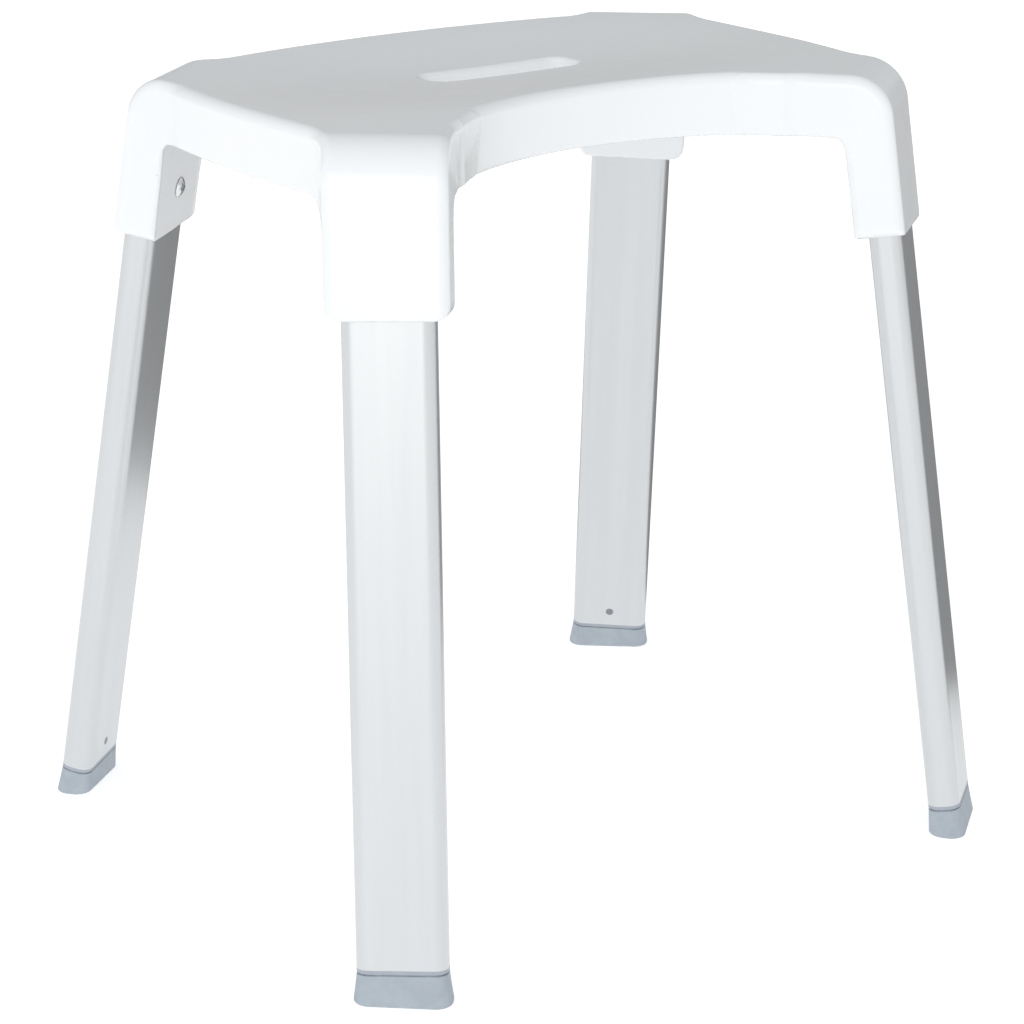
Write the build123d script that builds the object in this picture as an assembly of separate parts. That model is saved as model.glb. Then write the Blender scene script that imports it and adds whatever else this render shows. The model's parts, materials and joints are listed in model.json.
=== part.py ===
from build123d import *
from math import atan, cos, radians, sin, sqrt, tan
import os

os.makedirs("parts", exist_ok=True)

# A four-legged shower stool. Millimetres, +Z up, origin on the floor at the middle of the feet.
# X runs along the long side, and -Y is the front, where the seat edge is cut back.

# Larger than the whole stool, for shapes that only cut
beyond = 1000.0

# How closely points, radii and facing directions have to agree
point_tolerance = 1.0
radius_tolerance = 0.01
facing_tolerance = 0.001
level_tolerance = 0.01

# Seat
seat_top = 440.0
skirt_height = 34.0
skirt_bottom = seat_top - skirt_height
wall = 4.0
rim_radius = 6.0
side_reach = 184.0
side_bow_radius = 700.0
back_reach = 129.0
back_bow_radius = 540.0
front_reach = -66.0
front_bow_radius = 182.0
tail_line = -100.0
shoulder_length = 62.0
blend_radius = 18.0
arch_radius = 6.0
dish_depth = 5.0
dish_length = 280.0
dish_width = 176.0
dish_center_y = 28.0

# Handle slot
slot_length = 96.0
slot_width = 24.0
slot_corner = 8.0
slot_center_y = 16.0
slot_lip = 3.0
slot_wall_depth = 22.0

# Ribs under the seat
rib_thickness = 2.6
rib_depth = 18.0
rib_row_front = -14.0
rib_row_back = 62.0
rib_columns = (-92.0, 92.0)

# Leg centre lines, given by where they meet the floor and where they enter the seat
joint_height = 350.8
front_foot = (191.1, -172.3)
front_top = (165.3, -126.7)
rear_foot = (196.6, 172.3)
rear_top = (166.8, 114.9)
front_turn = 50.5
rear_turn = 51.3

# Leg tube
leg_width = 48.0
leg_depth = 18.4
leg_corner = 6.8
leg_wall = 1.5
leg_start = 18.4
leg_end = 413.0

# Sockets that take the legs
socket_width = 63.6
front_socket_inner = 15.5
rear_socket_inner = 13.0
socket_outer = 12.5
socket_corner = 7.0
socket_gap = 0.2
socket_keep_depth = 60.0
bend_radius = 24.0
bend_cut_reach = 120.0
bend_cut_half_width = 70.0
rim_start_height = joint_height + 5.0

# Leg-top plugs and their screws
plug_gap = 0.15
plug_length = 52.0
plug_flange = 1.5
screw_height = 382.0
screw_radius = 3.0
screw_head_radius = 5.7
screw_head_height = 2.3
screw_reach = 16.0
screw_end_gap = 1.0
hex_key = 4.0
hex_depth = 1.7
bore_gap = 0.05

# Foot inserts, rubber feet and lock buttons
collar_height = 2.0
groove_height = 0.6
groove_inset = 0.8
insert_rise = 42.0
tongue_width = 38.0
tongue_depth = 9.0
tongue_corner = 3.0
tongue_bottom = 6.0
groove_overlap = 1.0
foot_flare_width = 53.4
foot_flare_depth = 21.4
foot_flare_corner = 8.0
foot_flare_start = -4.0
button_height = 28.5
button_radius = 2.45
button_flange_radius = 3.4
button_flange = 1.0
spring_pocket_radius = 3.6
spring_pocket_depth = 9.0
spring_turns = 4
spring_radius = 2.4
spring_wire = 0.45

# Each leg's side, foot, top, turn from the X axis, and the depth of its socket behind its middle
corners = {
    "front_left": (-1, front_foot, front_top, front_turn, front_socket_inner),
    "front_right": (1, front_foot, front_top, front_turn, front_socket_inner),
    "rear_left": (-1, rear_foot, rear_top, rear_turn, rear_socket_inner),
    "rear_right": (1, rear_foot, rear_top, rear_turn, rear_socket_inner),
}


def leg_plane(corner):
    """Plane at the foot: x across the leg, y out of the stool, z up along the leg."""
    side, foot, top, turn, _ = corners[corner]
    base = Vector(side * foot[0], foot[1], 0)
    upper = Vector(side * top[0], top[1], joint_height)
    axis = (upper - base).normalized()
    end = 1 if foot[1] > 0 else -1
    facing = Vector(side * cos(radians(turn)), end * sin(radians(turn)), 0)
    outward = (facing - axis * facing.dot(axis)).normalized()
    return Plane(origin=base, x_dir=outward.cross(axis), z_dir=axis)


def socket_back(corner):
    """Where a socket's inner face lies along its leg's outward direction."""
    return -corners[corner][4]


def bar(corner, width, depth, radius, start, end, middle=0.0):
    """A rounded bar along one leg, from start to end along its axis."""
    plane = leg_plane(corner)
    section = Pos(0, middle, start) * RectangleRounded(width, depth, radius)
    return plane * extrude(section, end - start)


def pin(corner, height, radius, start, end):
    """A round pin across one leg, along its outward direction."""
    plane = leg_plane(corner)
    round_bar = Cylinder(radius, end - start, align=(Align.CENTER, Align.CENTER, Align.MIN))
    return plane * (Pos(0, start, height) * (Rot(-90, 0, 0) * round_bar))


def bend_cutter(corner):
    """What is cut away outside the large bend where the seat turns down into a socket."""
    plane = leg_plane(corner)
    outward = plane.y_dir
    level = Vector(outward.X, outward.Y, 0).normalized()
    slope = atan(outward.Z / sqrt(outward.X ** 2 + outward.Y ** 2))
    crest = level_point(corner, 0, socket_outer, seat_top)
    reach = bend_radius / tan(radians(45) + slope / 2)
    side_view = Plane(origin=crest, x_dir=level, z_dir=level.cross(Vector(0, 0, 1)))
    half_turn = (radians(90) - slope) / 2
    start = (-reach, 0)
    middle = (-reach + bend_radius * sin(half_turn), -bend_radius + bend_radius * cos(half_turn))
    low = (reach * sin(slope), -reach * cos(slope))
    far = bend_cut_reach
    arc = ThreePointArc(start, middle, low)
    outline = Polyline(low, (far * tan(slope), -far), (far, -far), (far, far), (-reach, far), start)
    face = make_face(arc.edges() + outline.edges())
    return extrude(side_view * face, bend_cut_half_width, both=True)


def level_point(corner, across, outward, level):
    """The point of one leg's section grid that lies at a given height."""
    plane = leg_plane(corner)
    start = plane.origin + plane.x_dir * across + plane.y_dir * outward
    return start + plane.z_dir * ((level - start.Z) / plane.z_dir.Z)


def footprint(corner, level):
    """A socket's section at a given height, taken inwards under the seat."""
    half = socket_width / 2
    spots = [
        (-half, -shoulder_length),
        (half, -shoulder_length),
        (half, socket_outer),
        (-half, socket_outer),
    ]
    points = [level_point(corner, across, outward, level) for across, outward in spots]
    return make_face(Polyline(*[(point.X, point.Y) for point in points], close=True))


def is_tip(vertex, level):
    """True at the outer corners of the sockets, which stay sharp in the plan."""
    for corner in corners:
        for across in (-socket_width / 2, socket_width / 2):
            tip = level_point(corner, across, socket_outer, level)
            if abs(vertex.X - tip.X) + abs(vertex.Y - tip.Y) < point_tolerance:
                return True
    return False


def seat_plan(level):
    """The seat seen from above, bowed at the sides and back, and cut back at the front."""
    plan = Pos(0, back_reach - back_bow_radius) * Circle(back_bow_radius)
    for side in (-1, 1):
        plan &= Pos(side * (side_reach - side_bow_radius), 0) * Circle(side_bow_radius)
    plan -= Pos(0, front_reach - front_bow_radius) * Circle(front_bow_radius)
    plan &= Pos(0, tail_line) * Rectangle(beyond, beyond, align=(Align.CENTER, Align.MIN))
    for corner in corners:
        plan += footprint(corner, level)
    hollow = [vertex for vertex in plan.vertices() if not is_tip(vertex, level)]
    return fillet(hollow, blend_radius).faces()[0]


def slab(face, low, high):
    """A flat shape made as thick as the space between two heights."""
    return extrude(Pos(0, 0, low) * face, high - low)


def upright(width, depth, middle, start):
    """A tall block that stands across a leg's frame, from start upwards."""
    block = Box(width, depth, beyond, align=(Align.CENTER, Align.CENTER, Align.MIN))
    return Pos(0, middle, start) * block


def socket_leg(corner):
    """The part of one socket below the skirt."""
    plane = leg_plane(corner)
    back = socket_back(corner)
    depth = socket_outer - back
    block = upright(socket_width, depth, back + depth / 2, joint_height / plane.z_dir.Z)
    below = Box(beyond, beyond, skirt_bottom, align=(Align.CENTER, Align.CENTER, Align.MIN))
    return (plane * block) & below


def socket_corner_cutter(corner, side):
    """What is cut away outside one rounded lower corner of a socket."""
    plane = leg_plane(corner)
    radius = socket_corner
    start = joint_height / plane.z_dir.Z
    edge = side * socket_width / 2
    block = Pos(edge, 0, start) * Box(2 * radius, socket_width, 2 * radius)
    round_bar = Rot(90, 0, 0) * Cylinder(radius, socket_width)
    rounding = Pos(edge - side * radius, 0, start + radius) * round_bar
    beside = Pos(edge - side * 2 * radius, 0, start) * Box(2 * radius, socket_width, 2 * radius)
    return plane * (block - rounding - beside)


def arch(corner):
    """The rounded bracket under the skirt, where its lower edge runs down into a socket."""
    plane = leg_plane(corner)
    height = skirt_bottom / plane.z_dir.Z
    radius = arch_radius
    back = socket_back(corner)
    block = Pos(0, back - radius / 2, height - radius / 2) * Box(2 * socket_width, radius, 3 * radius)
    round_bar = Rot(0, 90, 0) * Cylinder(radius, 3 * socket_width)
    bracket = plane * (block - Pos(0, back - radius, height - radius) * round_bar)
    return bracket & slab(seat_plan(skirt_bottom), skirt_bottom - radius, skirt_bottom)


def is_skin(face):
    """True for the flat top, the four bends and the outer faces of the sockets."""
    if face.geom_type == GeomType.CYLINDER:
        return abs(face.radius - bend_radius) < radius_tolerance
    normal = face.normal_at()
    facings = [leg_plane(corner).y_dir for corner in corners]
    level = normal.Z > 1 - level_tolerance
    return level or any(normal.dot(facing) > 1 - facing_tolerance for facing in facings)


def rim_edges(block):
    """The long edges round the top, over the bends and down the outer faces of the sockets."""
    uses = {}
    for face in block.faces():
        if is_skin(face):
            for edge in face.edges():
                uses.setdefault(hash(edge), []).append(edge)
    edges = [found[0] for found in uses.values() if len(found) == 1]
    return [edge for edge in edges if edge.center().Z > rim_start_height]


def seat_outside():
    """The seat and its four sockets as one full block, before it is hollowed out."""
    low = Pos(0, 0, skirt_bottom) * seat_plan(skirt_bottom)
    high = Pos(0, 0, seat_top) * seat_plan(seat_top)
    block = loft([low, high], ruled=True)
    for corner in corners:
        block += socket_leg(corner)
    for corner in corners:
        block -= bend_cutter(corner)
    block = block.solids()[0]
    block = fillet(rim_edges(block), rim_radius)
    for corner in corners:
        block += arch(corner)
        for side in (-1, 1):
            block -= socket_corner_cutter(corner, side)
    return block


def cavity():
    """The hollow under the seat, left clear of the sockets."""
    inside = offset(seat_plan(skirt_bottom), -wall, kind=Kind.INTERSECTION)
    hollow = slab(inside, skirt_bottom - 2 * arch_radius, seat_top - wall)
    for corner in corners:
        middle = socket_back(corner) + socket_keep_depth / 2
        hollow -= leg_plane(corner) * upright(2 * socket_width, socket_keep_depth, middle, leg_start)
    return hollow - Pos(0, 0, -wall) * dish()


def handle_wall():
    """The short wall that stiffens the edge of the handle slot."""
    outline = RectangleRounded(
        slot_length + 2 * slot_lip, slot_width + 2 * slot_lip, slot_corner + slot_lip
    )
    low = seat_top - slot_wall_depth
    return slab(Pos(0, slot_center_y) * outline, low, seat_top - dish_depth)


def ribs():
    """Stiffening ribs across the underside, clear of the handle slot."""
    low = seat_top - wall - rib_depth
    cross = []
    for row in (rib_row_front, rib_row_back):
        cross.append(Pos(0, row) * Rectangle(beyond, rib_thickness))
    for column in rib_columns:
        cross.append(Pos(column, 0) * Rectangle(rib_thickness, beyond))
    inside = offset(seat_plan(skirt_bottom), -wall / 2, kind=Kind.INTERSECTION)
    return [slab(strip & inside, low, seat_top - wall) for strip in cross]


def dish():
    """The shallow hollow of the sitting surface."""
    half_length = dish_length / 2
    half_width = dish_width / 2
    ball_radius = (half_length ** 2 + dish_depth ** 2) / (2 * dish_depth)
    ball = Pos(0, 0, ball_radius - dish_depth) * Sphere(ball_radius)
    layer = Box(beyond, beyond, 3 * dish_depth, align=(Align.CENTER, Align.CENTER, Align.MIN))
    cap = ball & (Pos(0, 0, -dish_depth) * layer)
    return Pos(0, dish_center_y, seat_top) * scale(cap, by=(1, half_width / half_length, 1))


def seat_shell():
    seat = seat_outside() - cavity()
    seat += handle_wall()
    for bar_solid in ribs():
        seat += bar_solid
    seat -= dish()
    opening = RectangleRounded(slot_length, slot_width, slot_corner)
    seat -= slab(Pos(0, slot_center_y) * opening, skirt_bottom, seat_top + wall)
    gap = socket_gap
    for corner in corners:
        top = leg_end + plug_flange
        seat -= bar(corner, leg_width + 2 * gap, leg_depth + 2 * gap, leg_corner + gap, leg_start, top)
        seat -= pin(corner, screw_height, screw_radius + 2 * bore_gap, 2 * socket_back(corner), 0)
    return seat


def leg_tube(corner):
    """The hollow leg, drilled for its screw and its lock button."""
    tube = bar(corner, leg_width, leg_depth, leg_corner, leg_start, leg_end)
    thin = 2 * leg_wall
    tube -= bar(corner, leg_width - thin, leg_depth - thin, leg_corner - leg_wall, 0, leg_end + leg_wall)
    tube -= pin(corner, screw_height, screw_radius + 2 * bore_gap, -leg_depth, 0)
    tube -= pin(corner, button_height, button_radius + bore_gap, -leg_depth, 0)
    return tube


def leg_plug(corner):
    """The plug in the top of a leg, with a flange on the tube's end and a hole for the screw."""
    thin = 2 * (leg_wall + plug_gap)
    radius = leg_corner - leg_wall - plug_gap
    body = bar(corner, leg_width - thin, leg_depth - thin, radius, leg_end - plug_length, leg_end)
    body += bar(corner, leg_width, leg_depth, leg_corner, leg_end, leg_end + plug_flange)
    start = socket_back(corner)
    return body - pin(corner, screw_height, screw_radius + bore_gap, start, start + screw_reach + screw_end_gap)


def leg_screw(corner):
    """A button-head screw with a hex socket, from the inner face of the socket into the plug."""
    seat_face = socket_back(corner)
    shank = pin(corner, screw_height, screw_radius, seat_face, seat_face + screw_reach)
    radius = (screw_head_radius ** 2 + screw_head_height ** 2) / (2 * screw_head_height)
    ball = Pos(0, 0, screw_head_height - radius) * Sphere(radius)
    head = ball & Cylinder(screw_head_radius, screw_head_height, align=(Align.CENTER, Align.CENTER, Align.MIN))
    key = extrude(RegularPolygon(hex_key / 2, 6, major_radius=False), hex_depth)
    head -= Pos(0, 0, screw_head_height - hex_depth) * key
    placed = Pos(0, seat_face, screw_height) * (Rot(90, 0, 0) * head)
    return shank + leg_plane(corner) * placed


def foot_insert(corner):
    """The plug in the foot of a leg: a collar under the tube, and a tongue down into the rubber."""
    thin = 2 * (leg_wall + plug_gap)
    radius = leg_corner - leg_wall - plug_gap
    body = bar(corner, leg_width - thin, leg_depth - thin, radius, leg_start, leg_start + insert_rise)
    body += bar(corner, leg_width, leg_depth, leg_corner, leg_start - collar_height, leg_start)
    body += bar(corner, tongue_width, tongue_depth, tongue_corner, tongue_bottom, leg_start)
    mouth = -leg_depth / 2
    pocket = pin(corner, button_height, spring_pocket_radius, mouth, mouth + leg_wall + spring_pocket_depth)
    return body - pocket


def foot_rubber(corner):
    """The rubber foot, flared towards a sole cut flat to the floor, with a groove under the collar."""
    plane = leg_plane(corner)
    top = leg_start - collar_height
    neck = top - groove_height
    flare = RectangleRounded(foot_flare_width, foot_flare_depth, foot_flare_corner)
    wide = plane * (Pos(0, 0, foot_flare_start) * flare)
    narrow = plane * (Pos(0, 0, neck) * RectangleRounded(leg_width, leg_depth, leg_corner))
    foot = loft([wide, narrow], ruled=True)
    inset = 2 * groove_inset
    foot += bar(corner, leg_width - inset, leg_depth - inset, leg_corner - groove_inset, neck - groove_overlap, top)
    above_floor = Box(beyond, beyond, leg_end, align=(Align.CENTER, Align.CENTER, Align.MIN))
    foot &= Location(plane.origin) * above_floor
    return foot - bar(corner, tongue_width, tongue_depth, tongue_corner, tongue_bottom, leg_start)


def lock_button(corner):
    """The round button that locks the foot in the leg: a head in the tube's hole and a flange behind it."""
    face = -leg_depth / 2
    head = pin(corner, button_height, button_radius, face, face + leg_wall + button_flange)
    back = face + leg_wall
    return head + pin(corner, button_height, button_flange_radius, back, back + button_flange)


def lock_spring(corner):
    """The small coil spring behind a lock button."""
    start = -leg_depth / 2 + leg_wall + button_flange + spring_wire
    length = spring_pocket_depth - button_flange - 2 * spring_wire
    path = Helix(pitch=length / spring_turns, height=length, radius=spring_radius)
    section = Plane(origin=path @ 0, z_dir=path % 0) * Circle(spring_wire)
    coil = sweep(section, path=path)
    return leg_plane(corner) * (Pos(0, start, button_height) * (Rot(-90, 0, 0) * coil))


makers = {
    "leg": leg_tube,
    "leg_plug": leg_plug,
    "leg_screw": leg_screw,
    "foot_insert": foot_insert,
    "foot_rubber": foot_rubber,
    "lock_button": lock_button,
    "lock_spring": lock_spring,
}

export_step(seat_shell(), "parts/seat_shell.step")
for name, maker in makers.items():
    for corner in corners:
        export_step(maker(corner).solids()[0], f"parts/{name}_{corner}.step")
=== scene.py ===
import json
import math

import bpy
import numpy as np
from mathutils import Matrix, Vector


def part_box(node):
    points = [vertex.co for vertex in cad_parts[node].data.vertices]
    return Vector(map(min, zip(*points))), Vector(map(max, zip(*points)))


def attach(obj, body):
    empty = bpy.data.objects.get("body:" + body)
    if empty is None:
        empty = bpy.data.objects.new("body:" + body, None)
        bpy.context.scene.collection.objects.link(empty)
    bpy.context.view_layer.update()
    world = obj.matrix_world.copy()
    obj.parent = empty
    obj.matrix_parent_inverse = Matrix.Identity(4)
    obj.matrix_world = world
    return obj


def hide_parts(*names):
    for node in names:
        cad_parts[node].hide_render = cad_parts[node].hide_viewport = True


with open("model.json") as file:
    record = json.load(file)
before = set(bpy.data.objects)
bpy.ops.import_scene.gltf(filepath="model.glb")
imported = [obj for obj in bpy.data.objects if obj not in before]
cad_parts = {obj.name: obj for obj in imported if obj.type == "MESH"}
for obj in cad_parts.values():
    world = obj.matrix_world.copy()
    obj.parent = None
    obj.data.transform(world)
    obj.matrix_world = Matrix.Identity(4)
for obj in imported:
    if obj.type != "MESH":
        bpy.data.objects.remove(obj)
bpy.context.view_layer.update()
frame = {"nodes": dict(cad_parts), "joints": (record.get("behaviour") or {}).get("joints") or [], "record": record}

# Looks of the shower stool. Metres, in the frame of the CAD model. Lengths inside the
# distance functions are in millimetres, and become metres when a mesh is made.

MM = 0.001
FAR = 1000.0
CORNERS = ("front_left", "front_right", "rear_left", "rear_right")

# Seat moulding, in millimetres
SEAT_TOP = 440.0
SKIRT_BOTTOM = 406.0
JOINT_HEIGHT = 350.8
WALL = 4.0
RIM_RADIUS = 6.0
BEND_RADIUS = 24.0
SIDE_REACH = 184.0
SIDE_BOW_RADIUS = 700.0
BACK_REACH = 129.0
BACK_BOW_RADIUS = 540.0
FRONT_REACH = -66.0
FRONT_BOW_RADIUS = 182.0
TAIL_LINE = -100.0
SHOULDER_LENGTH = 62.0
SOCKET_HALF_WIDTH = 31.8
SOCKET_INNER = {"front": 15.5, "rear": 13.0}
SOCKET_OUTER = 12.5
BLEND = 11.0
ARCH_RADIUS = 6.0
SOCKET_CORNER = 10.0
SOCKET_MARGIN = 1.5
SOCKET_FREE = 30.0
SOCKET_ZONE = 90.0
ARCH_ZONE = 60.0
EDGE_RADIUS = 1.5
INNER_EDGE = 5.0
INNER_EDGE_RISE = 12.0
HOLLOW_EDGE = 3.0
DISH_DEPTH = 5.0
DISH_HALF_LENGTH = 215.0
DISH_HALF_WIDTH = 120.0
DISH_CENTER_Y = 25.0
SLOT_HALF_LENGTH = 48.0
SLOT_HALF_WIDTH = 12.0
SLOT_CORNER = 8.0
SLOT_CENTER_Y = 16.0
SLOT_LIP = 3.0
SLOT_WALL_BOTTOM = 418.0
SLOT_EDGE = 3.5
SLOT_LOW_EDGE = 1.3
SLOT_LOW_REACH = 6.0
INNER_COVER = 2.0
INNER_FILLET = 1.5
RIB_HALF = 1.3
RIB_EDGE = 1.2
RIB_BOTTOM = 418.0
RIB_ROWS = (-14.0, 62.0)
RIB_COLUMNS = (-92.0, 92.0)
POCKET_HALF_WIDTH = 24.2
POCKET_HALF_DEPTH = 9.4
POCKET_CORNER = 7.0
POCKET_TOP = 414.5
POCKET_EDGE = 0.8
SCREW_HEIGHT = 382.0
SCREW_HOLE = 3.1
SEAT_STEP = 1.5

# Feet, in millimetres
LEG_HALF_WIDTH = 24.0
LEG_HALF_DEPTH = 9.2
LEG_CORNER = 6.8
FOOT_TOP = 16.4
GROOVE_HEIGHT = 0.9
GROOVE_INSET = 0.9
CORE_HALF_HEIGHT = 3.0
FOOT_FLARE = 2.2
FOOT_FLARE_END = 1.3
FOOT_FLARE_POWER = 1.15
FOOT_FLARE_DEPTH = 0.6
FOOT_LIP = 0.5
FOOT_EDGE = 1.1
TONGUE_HALF_WIDTH = 19.0
TONGUE_HALF_DEPTH = 4.5
TONGUE_CORNER = 3.0
TONGUE_BOTTOM = 6.0
FOOT_STEP = 0.6


def unit(vector):
    return vector / np.linalg.norm(vector)


def leg_frames():
    """Each leg's foot, and its across, outward and upward directions, read from the CAD frame."""
    soles = {mount["name"]: mount["pos_m"] for mount in frame["record"]["mounts"]}
    presses = {joint["name"]: joint["axis"] for joint in frame["joints"]}
    frames = {}
    for corner in CORNERS:
        foot = np.array(soles[f"sole_{corner}"]) / MM
        outward = unit(np.array(presses[f"button_{corner}_press"]))
        low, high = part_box(f"leg_{corner}")
        middle = np.array((low + high) / 2) / MM
        axis = unit(middle - foot)
        outward = unit(outward - axis * outward.dot(axis))
        frames[corner] = (foot, np.cross(outward, axis), outward, axis)
    return frames


LEGS = leg_frames()


# ---- distance functions: negative inside, millimetres ----

def local(points, corner):
    """Across, outward and along-the-leg distances of points in one leg's own frame."""
    foot, across, outward, axis = LEGS[corner]
    offset = points - foot
    return offset @ across, offset @ outward, offset @ axis


def inner_face(corner):
    """How far a socket's inner face is from the middle of its leg."""
    return SOCKET_INNER[corner.split("_")[0]]


def join(first, second, radius):
    """Union with a hollow fillet."""
    near = np.hypot(np.maximum(radius - first, 0), np.maximum(radius - second, 0))
    return np.maximum(radius, np.minimum(first, second)) - near


def meet(first, second, radius):
    """Intersection with a rounded edge."""
    near = np.hypot(np.maximum(radius + first, 0), np.maximum(radius + second, 0))
    return np.minimum(-radius, np.maximum(first, second)) + near


def rounded_rectangle(u, v, half_u, half_v, radius):
    du = np.abs(u) - half_u + radius
    dv = np.abs(v) - half_v + radius
    outside = np.hypot(np.maximum(du, 0), np.maximum(dv, 0))
    return outside + np.minimum(np.maximum(du, dv), 0) - radius


def top_surface(x, y):
    """Height of the sitting surface: flat at the corners, dished in the middle."""
    spread = (x / DISH_HALF_LENGTH) ** 2 + ((y - DISH_CENTER_Y) / DISH_HALF_WIDTH) ** 2
    return SEAT_TOP - DISH_DEPTH * np.maximum(1 - spread, 0) ** 2


def bend(points, corner, above_top, inset):
    """The skin over one socket: its outer face, the large bend and the top, moved in by inset."""
    foot, _, outward, axis = LEGS[corner]
    level = unit(np.array((outward[0], outward[1], 0.0)))
    slope = math.asin(outward[2])
    crest = foot + outward * SOCKET_OUTER
    crest = crest + axis * ((SEAT_TOP - crest[2]) / axis[2])
    reach = BEND_RADIUS / math.tan(math.radians(45) + slope / 2)
    out = (points - crest) @ level
    face = (points - crest) @ outward
    across = out + reach
    rise = above_top + BEND_RADIUS
    turned = (across > 0) & (rise * math.cos(slope) > across * math.sin(slope))
    radial = np.hypot(across, rise) - BEND_RADIUS
    return np.where(turned, radial, np.maximum(face, above_top)) + inset


def walls(points):
    """The upright walls: the seat's plan, run together with the narrow faces of the sockets."""
    x, y = points[:, 0], points[:, 1]
    plan = np.hypot(x, y - BACK_REACH + BACK_BOW_RADIUS) - BACK_BOW_RADIUS
    side = np.hypot(np.abs(x) - SIDE_REACH + SIDE_BOW_RADIUS, y) - SIDE_BOW_RADIUS
    plan = np.maximum(plan, side)
    plan = np.maximum(plan, FRONT_BOW_RADIUS - np.hypot(x, y - FRONT_REACH + FRONT_BOW_RADIUS))
    plan = np.maximum(plan, TAIL_LINE - y)
    for corner in CORNERS:
        across, outward, _ = local(points, corner)
        strip = np.maximum(np.abs(across) - SOCKET_HALF_WIDTH, -SHOULDER_LENGTH - outward)
        plan = join(plan, strip, BLEND)
    return plan


def skin(points, inset=0.0):
    """The sitting surface and the four bends that carry it down into the sockets."""
    above_top = points[:, 2] - top_surface(points[:, 0], points[:, 1])
    cover = above_top + inset
    for corner in CORNERS:
        cover = np.maximum(cover, bend(points, corner, above_top, inset))
    return cover


def underside(points):
    """The lower limit: the skirt's edge, arched down into the inner face of each socket."""
    limit = SKIRT_BOTTOM - points[:, 2]
    for corner in CORNERS:
        across, outward, _ = local(points, corner)
        reach = np.maximum(-inner_face(corner) - outward, np.abs(across) - ARCH_ZONE)
        limit = join(limit, reach, ARCH_RADIUS)
    return limit


def hollow(points):
    """The space under the seat, inside the skirt and between the sockets."""
    space = meet(walls(points) + WALL, skin(points, WALL), HOLLOW_EDGE)
    for corner in CORNERS:
        _, outward, _ = local(points, corner)
        space = meet(space, outward + inner_face(corner), HOLLOW_EDGE)
    return space


def ribs(points):
    x, y, z = points.T
    bars = np.full(len(points), FAR)
    for row in RIB_ROWS:
        bars = np.minimum(bars, np.abs(y - row) - RIB_HALF)
    for column in RIB_COLUMNS:
        bars = np.minimum(bars, np.abs(x - column) - RIB_HALF)
    return meet(bars, RIB_BOTTOM - z, RIB_EDGE)


def socket_end(across, outward, along, corner):
    """The lower end of a socket, with its two corners rounded."""
    low = JOINT_HEIGHT / LEGS[corner][3][2] + SOCKET_CORNER
    side = np.abs(across) - SOCKET_HALF_WIDTH - SOCKET_MARGIN + SOCKET_CORNER
    end = np.hypot(np.maximum(side, 0), np.maximum(low - along, 0)) - SOCKET_CORNER
    end = np.minimum(end, low + SOCKET_FREE - along)
    return np.where(np.hypot(across, outward) < SOCKET_ZONE, end, -FAR)


def seat_distance(points):
    x, y, z = points.T
    upright = walls(points)
    body = meet(upright, skin(points), RIM_RADIUS)
    edge = EDGE_RADIUS + (INNER_EDGE - EDGE_RADIUS) * np.clip((SKIRT_BOTTOM - z) / INNER_EDGE_RISE, 0, 1)
    body = meet(body, underside(points), edge)
    envelope = body
    body = meet(body, -hollow(points), EDGE_RADIUS)
    body = join(body, np.maximum(envelope + INNER_COVER, ribs(points)), INNER_FILLET)
    slot = rounded_rectangle(x, y - SLOT_CENTER_Y, SLOT_HALF_LENGTH, SLOT_HALF_WIDTH, SLOT_CORNER)
    collar = meet(slot - SLOT_LIP, SLOT_WALL_BOTTOM - z, SLOT_LOW_EDGE)
    body = join(body, np.maximum(collar, envelope + INNER_COVER), INNER_FILLET)
    slot_edge = np.where(z > SLOT_WALL_BOTTOM + SLOT_LOW_REACH, SLOT_EDGE, SLOT_LOW_EDGE)
    body = meet(body, -slot, slot_edge)
    for corner in CORNERS:
        across, outward, along = local(points, corner)
        body = meet(body, socket_end(across, outward, along, corner), EDGE_RADIUS)
        pocket = rounded_rectangle(across, outward, POCKET_HALF_WIDTH, POCKET_HALF_DEPTH, POCKET_CORNER)
        body = meet(body, -np.maximum(pocket, along - POCKET_TOP), POCKET_EDGE)
        bore = np.hypot(across, along - SCREW_HEIGHT) - SCREW_HOLE
        body = np.maximum(body, -np.maximum(bore, outward))
    return body


def foot_distance(corner):
    """Distance function of one rubber foot: flared to a flat sole, with a groove under the collar."""
    def distance(points):
        across, outward, along = local(points, corner)
        neck = FOOT_TOP - GROOVE_HEIGHT
        flare = FOOT_FLARE * np.clip((neck - along) / neck, 0, FOOT_FLARE_END) ** FOOT_FLARE_POWER
        half_width = LEG_HALF_WIDTH + flare
        half_depth = LEG_HALF_DEPTH + flare * FOOT_FLARE_DEPTH
        side = rounded_rectangle(across, outward, half_width, half_depth, LEG_CORNER + flare)
        body = meet(side, along - neck, FOOT_LIP)
        body = meet(body, -points[:, 2], FOOT_EDGE)
        core = rounded_rectangle(
            across, outward, LEG_HALF_WIDTH - GROOVE_INSET, LEG_HALF_DEPTH - GROOVE_INSET, LEG_CORNER
        )
        core = np.maximum(core, np.abs(along - FOOT_TOP + CORE_HALF_HEIGHT) - CORE_HALF_HEIGHT)
        tongue = rounded_rectangle(across, outward, TONGUE_HALF_WIDTH, TONGUE_HALF_DEPTH, TONGUE_CORNER)
        return np.maximum(np.minimum(body, core), -np.maximum(tongue, TONGUE_BOTTOM - along))
    return distance


# ---- meshes from distance functions ----

def sample(distance, low, high, step):
    """Distances on a grid, worked out one layer at a time."""
    axes = [np.arange(low[k], high[k] + step, step) for k in range(3)]
    gx, gy = np.meshgrid(axes[0], axes[1], indexing="ij")
    layers = []
    for z in axes[2]:
        points = np.stack([gx.ravel(), gy.ravel(), np.full(gx.size, z)], axis=1)
        layers.append(distance(points).reshape(gx.shape))
    return np.stack(layers, axis=2)


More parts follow.
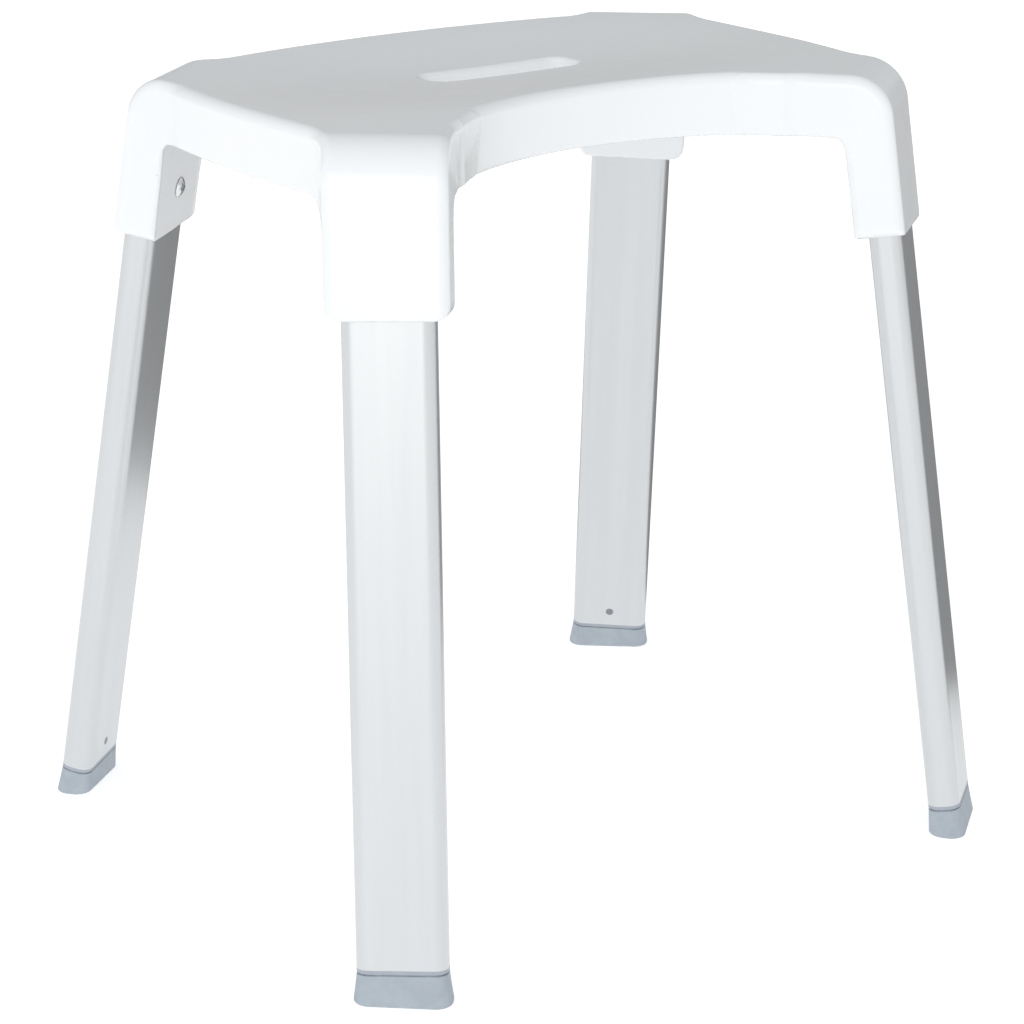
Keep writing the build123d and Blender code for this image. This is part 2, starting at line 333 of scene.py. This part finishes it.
def surface_net(values):
    """One point in each cell that the surface crosses, and a quad round each crossed edge."""
    inside = values < 0
    shape = np.array(values.shape) - 1
    total = np.zeros(tuple(shape) + (3,))
    count = np.zeros(tuple(shape))
    grid = np.indices(values.shape).transpose(1, 2, 3, 0).astype(float)
    for k in range(3):
        a = [slice(None)] * 3
        b = [slice(None)] * 3
        a[k] = slice(None, -1)
        b[k] = slice(1, None)
        va, vb = values[tuple(a)], values[tuple(b)]
        crossed = inside[tuple(a)] != inside[tuple(b)]
        share = np.where(crossed, va / np.where(crossed, va - vb, 1), 0)
        spot = grid[tuple(a)].copy()
        spot[..., k] += share
        others = [axis for axis in range(3) if axis != k]
        for du in (0, 1):
            for dv in (0, 1):
                pick = [slice(None)] * 3
                pick[others[0]] = slice(du, du + shape[others[0]])
                pick[others[1]] = slice(dv, dv + shape[others[1]])
                hit = crossed[tuple(pick)]
                total += np.where(hit[..., None], spot[tuple(pick)], 0)
                count += hit
    used = count > 0
    index = np.full(tuple(shape), -1)
    index[used] = np.arange(used.sum())
    points = total[used] / count[used][:, None]
    quads = []
    for k in range(3):
        u, v = [(1, 2), (2, 0), (0, 1)][k]
        a = [slice(None)] * 3
        b = [slice(None)] * 3
        a[k] = slice(None, -1)
        b[k] = slice(1, None)
        for axis in (u, v):
            a[axis] = slice(1, -1)
            b[axis] = slice(1, -1)
        ia, ib = inside[tuple(a)], inside[tuple(b)]
        cells = np.argwhere(ia != ib)
        leaving = ia[tuple(cells.T)]
        cells[:, u] += 1
        cells[:, v] += 1
        corners = []
        for du, dv in ((-1, -1), (0, -1), (0, 0), (-1, 0)):
            spot = cells.copy()
            spot[:, u] += du
            spot[:, v] += dv
            corners.append(index[tuple(spot.T)])
        ring = np.stack(corners, axis=1)
        ring[~leaving] = ring[~leaving][:, ::-1]
        quads.append(ring)
    return points, np.concatenate(quads)


def slopes(distance, points, reach=0.05):
    """The gradient of a distance function."""
    parts = []
    for k in range(3):
        shift = np.zeros(3)
        shift[k] = reach
        parts.append((distance(points + shift) - distance(points - shift)) / (2 * reach))
    return np.stack(parts, axis=1)


def settle(distance, points, rounds=4, least=0.05, furthest=1.0):
    """Moves points onto the surface."""
    for _ in range(rounds):
        gradient = slopes(distance, points)
        size = np.maximum((gradient ** 2).sum(axis=1), least)
        shift = gradient * (distance(points) / size)[:, None]
        points = points - np.clip(shift, -furthest, furthest)
    return points


def shell_mesh(name, distance, low, high, step):
    """A smooth closed mesh of a distance function, with its exact normals."""
    low = np.array(low, float)
    points, quads = surface_net(sample(distance, low, high, step))
    points = settle(distance, points * step + low)
    mesh = bpy.data.meshes.new(name)
    mesh.from_pydata((points * MM).tolist(), [], quads.tolist())
    mesh.update()
    mesh.polygons.foreach_set("use_smooth", [True] * len(mesh.polygons))
    normals = slopes(distance, points)
    normals /= np.linalg.norm(normals, axis=1)[:, None]
    mesh.normals_split_custom_set_from_vertices(normals.tolist())
    thing = bpy.data.objects.new(name, mesh)
    bpy.context.scene.collection.objects.link(thing)
    return thing


# ---- materials ----

def new_material(name, color, roughness, metallic=0.0):
    material = bpy.data.materials.new(name)
    material.use_nodes = True
    shader = material.node_tree.nodes["Principled BSDF"]
    shader.inputs["Base Color"].default_value = (*color, 1.0)
    shader.inputs["Roughness"].default_value = roughness
    shader.inputs["Metallic"].default_value = metallic
    return material, shader


def add_node(material, kind, **settings):
    node = material.node_tree.nodes.new(kind)
    for key, value in settings.items():
        if key in node.inputs:
            node.inputs[key].default_value = value
        else:
            setattr(node, key, value)
    return node


def noise(material, scale, detail, coordinates):
    texture = add_node(material, "ShaderNodeTexNoise", Scale=scale, Detail=detail)
    material.node_tree.links.new(coordinates, texture.inputs["Vector"])
    return texture.outputs["Fac"]


def object_coordinates(material):
    return add_node(material, "ShaderNodeTexCoord").outputs["Object"]


def along_leg(material, corner, stretch):
    """Coordinates turned to lie along one leg, and stretched along it."""
    _, across, outward, axis = LEGS[corner]
    turn = Matrix((across, outward, axis)).to_euler()
    mapping = add_node(material, "ShaderNodeMapping", vector_type="POINT")
    mapping.inputs["Rotation"].default_value = turn
    squeeze = add_node(material, "ShaderNodeMapping", vector_type="POINT")
    squeeze.inputs["Scale"].default_value = (1.0, 1.0, stretch)
    links = material.node_tree.links
    links.new(object_coordinates(material), mapping.inputs["Vector"])
    links.new(mapping.outputs["Vector"], squeeze.inputs["Vector"])
    return squeeze.outputs["Vector"]


def vary_roughness(material, shader, source, low, high):
    spread = add_node(material, "ShaderNodeMapRange")
    spread.inputs["To Min"].default_value = low
    spread.inputs["To Max"].default_value = high
    material.node_tree.links.new(source, spread.inputs["Value"])
    material.node_tree.links.new(spread.outputs["Result"], shader.inputs["Roughness"])


def vary_color(material, shader, source, low, high, start=0.3, end=0.7):
    ramp = add_node(material, "ShaderNodeValToRGB")
    ramp.color_ramp.elements[0].position = start
    ramp.color_ramp.elements[0].color = (*low, 1.0)
    ramp.color_ramp.elements[1].position = end
    ramp.color_ramp.elements[1].color = (*high, 1.0)
    material.node_tree.links.new(source, ramp.inputs["Fac"])
    material.node_tree.links.new(ramp.outputs["Color"], shader.inputs["Base Color"])


def add_bump(material, shader, source, height):
    bump = add_node(material, "ShaderNodeBump", Strength=1.0, Distance=height)
    material.node_tree.links.new(source, bump.inputs["Height"])
    material.node_tree.links.new(bump.outputs["Normal"], shader.inputs["Normal"])


def seat_plastic():
    material, shader = new_material("seat_plastic", (0.84, 0.845, 0.85), 0.2)
    shader.inputs["Coat Weight"].default_value = 0.3
    shader.inputs["Coat Roughness"].default_value = 0.08
    place = object_coordinates(material)
    vary_color(material, shader, noise(material, 9, 3, place), (0.825, 0.835, 0.845), (0.845, 0.85, 0.855))
    vary_roughness(material, shader, noise(material, 60, 4, place), 0.16, 0.24)
    add_bump(material, shader, noise(material, 350, 2, place), 0.00002)
    return material


def leg_aluminium(corner):
    material, shader = new_material(f"leg_aluminium_{corner}", (0.62, 0.63, 0.64), 0.32, 0.9)
    fine = noise(material, 1800, 3, along_leg(material, corner, 0.004))
    broad = noise(material, 120, 3, along_leg(material, corner, 0.05))
    vary_color(material, shader, broad, (0.615, 0.626, 0.634), (0.64, 0.65, 0.657))
    vary_roughness(material, shader, fine, 0.28, 0.4)
    add_bump(material, shader, fine, 0.000004)
    return material


def screw_steel():
    material, shader = new_material("screw_steel", (0.76, 0.77, 0.78), 0.16, 1.0)
    place = object_coordinates(material)
    vary_roughness(material, shader, noise(material, 900, 3, place), 0.1, 0.24)
    add_bump(material, shader, noise(material, 2500, 2, place), 0.000004)
    return material


def matte(name, dark, light, rough_low, rough_high, scale, height):
    material, shader = new_material(name, light, rough_high)
    place = object_coordinates(material)
    vary_color(material, shader, noise(material, scale, 4, place), dark, light)
    vary_roughness(material, shader, noise(material, scale * 2, 3, place), rough_low, rough_high)
    add_bump(material, shader, noise(material, scale * 8, 3, place), height)
    return material


def dress(node, material):
    thing = frame["nodes"][node]
    thing.data.materials.clear()
    thing.data.materials.append(material)


def dress_legs():
    for corner in CORNERS:
        dress(f"leg_{corner}", leg_aluminium(corner))
        dress(f"leg_screw_{corner}", STEEL)
        dress(f"leg_plug_{corner}", NYLON)
        dress(f"foot_insert_{corner}", COLLAR)
        dress(f"foot_rubber_{corner}", RUBBER)
        dress(f"lock_button_{corner}", BUTTON)
        dress(f"lock_spring_{corner}", WIRE)


STEEL = screw_steel()
NYLON = matte("plug_nylon", (0.03, 0.03, 0.032), (0.05, 0.05, 0.052), 0.4, 0.55, 200, 0.00003)
COLLAR = matte("collar_plastic", (0.33, 0.36, 0.41), (0.38, 0.41, 0.46), 0.35, 0.5, 150, 0.00002)
RUBBER = matte("foot_rubber", (0.35, 0.39, 0.435), (0.40, 0.445, 0.49), 0.5, 0.7, 150, 0.00005)
BUTTON = matte("button_plastic", (0.2, 0.21, 0.23), (0.26, 0.27, 0.29), 0.35, 0.5, 300, 0.00002)
WIRE = screw_steel()


# ---- pieces ----

def make_seat():
    low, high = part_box("seat_shell")
    margin = 2 * SEAT_STEP
    low = np.array(low) / MM - margin
    high = np.array(high) / MM + margin
    seat = shell_mesh("seat", seat_distance, low, high, SEAT_STEP)
    seat.data.materials.append(seat_plastic())
    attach(seat, "stool")
    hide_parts("seat_shell")


def make_feet():
    for corner in CORNERS:
        low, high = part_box(f"foot_rubber_{corner}")
        low = np.array(low) / MM - 2 * FOOT_STEP
        high = np.array(high) / MM + 2 * FOOT_STEP
        foot = shell_mesh(f"foot_{corner}", foot_distance(corner), low, high, FOOT_STEP)
        foot.data.materials.append(RUBBER)
        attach(foot, "stool")
        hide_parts(f"foot_rubber_{corner}")


# ---- stage ----

SKY_TOP = (0.885, 0.92, 0.945)
DARK_SIDE = 0.45
BRIGHT_LEVEL = 1.07
BRIGHT_SIDE = (-0.8, -0.6, 0.0)
HEIGHT_RANGE = (0.1, 0.7)
SIDE_RANGE = (-0.9, 0.6)
KEY_PLACE = (-1.9, -1.5, 0.9)
KEY_TARGET = (0, 0, 0.3)
KEY_SIZE = (1.6, 1.2)
KEY_POWER = 5.5
FLOOR_COLOR = (0.8, 0.8, 0.8)
FLOOR_GLOW = 0.52
FLOOR_SIZE = 12.0
FLAG_WIDTH = 0.9
FLAG_LENGTH = 0.6
FLAG_PLACE = (0.495, 0.159, 0.24)
FLAG_TILT = 53.0
FLAG_TURN = -62.9
FLAG_COLOR = (0.24, 0.24, 0.24)
CAMERA_PLACE = (-0.94547, -1.35378, 0.75475)
CAMERA_DIP = 19.18
CAMERA_TURN = -34.85
CAMERA_LENS = 106.48
SENSOR_WIDTH = 36.0


def area_mesh(name, width, depth):
    """A flat rectangle about the origin."""
    half_width, half_depth = width / 2, depth / 2
    rim = [(-half_width, -half_depth, 0), (half_width, -half_depth, 0)]
    rim += [(half_width, half_depth, 0), (-half_width, half_depth, 0)]
    mesh = bpy.data.meshes.new(name)
    mesh.from_pydata(rim, [], [(0, 1, 2, 3)])
    thing = bpy.data.objects.new(name, mesh)
    bpy.context.scene.collection.objects.link(thing)
    return thing


def area_light(name, place, target, size, power):
    data = bpy.data.lights.new(name, "AREA")
    data.shape = "RECTANGLE"
    data.size, data.size_y = size
    data.energy = power
    light = bpy.data.objects.new(name, data)
    light.location = place
    light.rotation_euler = (Vector(target) - Vector(place)).to_track_quat("-Z", "Y").to_euler()
    bpy.context.scene.collection.objects.link(light)


def make_floor():
    floor = area_mesh("floor", FLOOR_SIZE, FLOOR_SIZE)
    material, shader = new_material("floor", FLOOR_COLOR, 0.9)
    shader.inputs["Emission Color"].default_value = (1.0, 1.0, 1.0, 1.0)
    shader.inputs["Emission Strength"].default_value = FLOOR_GLOW
    floor.data.materials.append(material)


def sky_level(tree, direction, facing, start, end, low, high):
    """A level that changes smoothly with how far a direction points along facing."""
    along = tree.nodes.new("ShaderNodeVectorMath")
    along.operation = "DOT_PRODUCT"
    along.inputs[1].default_value = facing
    level = tree.nodes.new("ShaderNodeMapRange")
    level.interpolation_type = "SMOOTHSTEP"
    for name, value in (("From Min", start), ("From Max", end), ("To Min", low), ("To Max", high)):
        level.inputs[name].default_value = value
    tree.links.new(direction, along.inputs[0])
    tree.links.new(along.outputs["Value"], level.inputs["Value"])
    return level.outputs["Result"]


def make_world():
    """Soft studio light: bright round the horizon to the left and front, dimmer above and to the right."""
    world = bpy.data.worlds.new("studio")
    world.use_nodes = True
    tree = world.node_tree
    background = tree.nodes["Background"]
    direction = tree.nodes.new("ShaderNodeTexCoord").outputs["Generated"]
    height = sky_level(tree, direction, (0, 0, 1), *HEIGHT_RANGE, 0.0, 1.0)
    side = sky_level(tree, direction, BRIGHT_SIDE, *SIDE_RANGE, DARK_SIDE, BRIGHT_LEVEL)
    tint = tree.nodes.new("ShaderNodeMix")
    tint.data_type = "RGBA"
    tint.inputs["A"].default_value = (1.0, 1.0, 1.0, 1.0)
    tint.inputs["B"].default_value = (*SKY_TOP, 1.0)
    tree.links.new(height, tint.inputs["Factor"])
    tree.links.new(tint.outputs["Result"], background.inputs["Color"])
    tree.links.new(side, background.inputs["Strength"])
    bpy.context.scene.world = world
    bpy.context.scene.view_settings.view_transform = "Standard"


def make_flag():
    """A dark card to the right, which only reflections see. It darkens the right sides of the legs."""
    card = area_mesh("flag", FLAG_WIDTH, FLAG_LENGTH)
    card.location = FLAG_PLACE
    card.rotation_euler = (math.radians(FLAG_TILT), 0, math.radians(FLAG_TURN))
    card.visible_camera = False
    card.visible_diffuse = False
    card.visible_shadow = False
    material, _ = new_material("flag", FLAG_COLOR, 0.9)
    card.data.materials.append(material)


def make_camera():
    data = bpy.data.cameras.new("camera")
    data.sensor_width = SENSOR_WIDTH
    data.lens = CAMERA_LENS
    data.clip_end = 50
    camera = bpy.data.objects.new("camera", data)
    camera.location = CAMERA_PLACE
    camera.rotation_euler = (math.radians(90 - CAMERA_DIP), 0, math.radians(CAMERA_TURN))
    bpy.context.scene.collection.objects.link(camera)
    bpy.context.scene.camera = camera


make_camera()
make_world()
make_floor()
make_flag()
area_light("key", KEY_PLACE, KEY_TARGET, KEY_SIZE, KEY_POWER)
dress_legs()
make_seat()
make_feet()
